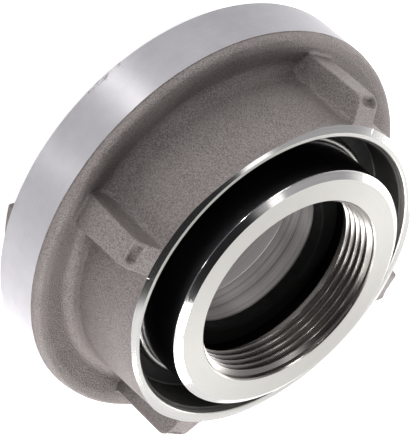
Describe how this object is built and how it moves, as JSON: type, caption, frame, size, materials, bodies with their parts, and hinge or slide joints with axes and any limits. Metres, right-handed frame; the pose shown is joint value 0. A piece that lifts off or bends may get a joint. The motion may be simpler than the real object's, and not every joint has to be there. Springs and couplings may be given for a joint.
{
  "type": "quarter turn fire hose coupling",
  "caption": "Swivelling quarter turn claw coupling half for a fire hose line, with a ribbed cast ring, a face seal and a female pipe thread at the back.",
  "frame": {"origin": "middle of the two claw tips, on the surface that the coupling stands on", "axes": "+Z along the waterway towards the threaded end, +X and +Y through the spanner ribs"},
  "size_m": [0.126, 0.126, 0.062],
  "materials": {
    "cast_ring": "shot blasted casting with a turned rim and hub end",
    "turned_stub": "turned",
    "seal_rubber": "moulded matte",
    "gasket_rubber": "cut sheet, matte",
    "spring_wire": "drawn wire",
    "slide_plastic": "moulded matte"
  },
  "bodies": {
    "stub": {"threaded_stub": "turned_stub", "face_seal": "seal_rubber", "thread_gasket": "gasket_rubber", "snap_ring": "spring_wire"},
    "claw_ring": {"coupling_ring": "cast_ring", "slide_ring": "slide_plastic"}
  },
  "joints": [
    {"name": "ring_swivel", "type": "hinge", "parent": "stub", "child": "claw_ring", "pos_m": [0, 0, 0.037], "axis": [0, 0, 1], "continuous": true}
  ]
}
